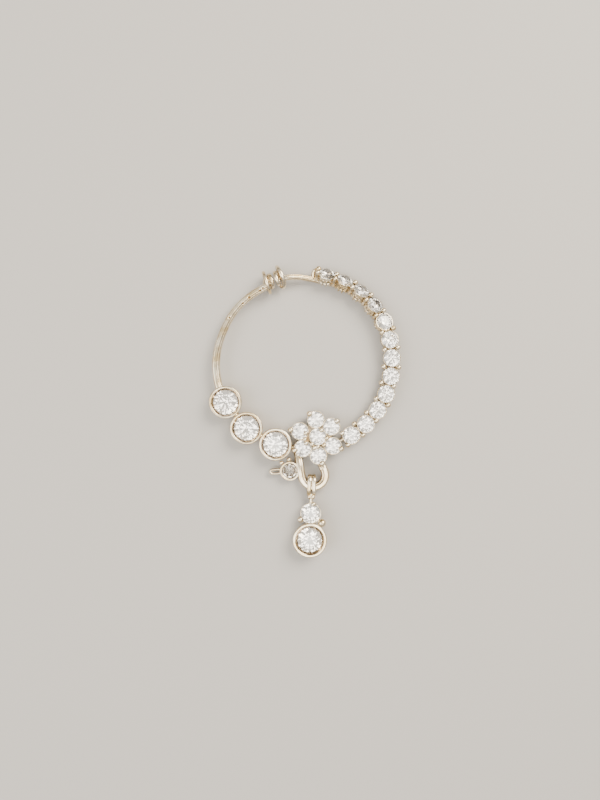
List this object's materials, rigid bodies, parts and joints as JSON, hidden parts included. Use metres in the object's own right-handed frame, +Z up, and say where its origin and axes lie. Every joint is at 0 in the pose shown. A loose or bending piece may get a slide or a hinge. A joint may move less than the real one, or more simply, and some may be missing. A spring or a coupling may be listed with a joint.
{
  "type": "nose ring",
  "caption": "Clip-on nose ring: oval hoop with spiral clip pads, a row of prong-set stones, a flower of stones, bezel-set stones and a stone drop on a loop.",
  "frame": {"origin": "middle of the bounding box's underside, on the surface that the ring lies on", "axes": "+Z up, towards the stones' tables; +Y from the drop to the clip pads; +X towards the row of stones"},
  "size_m": [0.0306, 0.0466, 0.0038],
  "materials": {
    "metal": "polished pale silver-coloured plate",
    "stone": "faceted and polished"
  },
  "bodies": {
    "root": {"ring_frame": "metal", "drop_frame": "metal", "bezel_stone_1": "stone", "bezel_stone_2": "stone", "bezel_stone_3": "stone", "collet_stone": "stone", "drop_stone_lower": "stone", "drop_stone_upper": "stone", "flower_stone_center": "stone", "petal_stone_1": "stone", "petal_stone_2": "stone", "petal_stone_3": "stone", "petal_stone_4": "stone", "petal_stone_5": "stone", "petal_stone_6": "stone", "row_stone_01": "stone", "row_stone_02": "stone", "row_stone_03": "stone", "row_stone_04": "stone", "row_stone_05": "stone", "row_stone_06": "stone", "row_stone_07": "stone", "row_stone_08": "stone", "row_stone_09": "stone", "row_stone_10": "stone", "row_stone_11": "stone", "row_stone_12": "stone"}
  },
  "joints": []
}
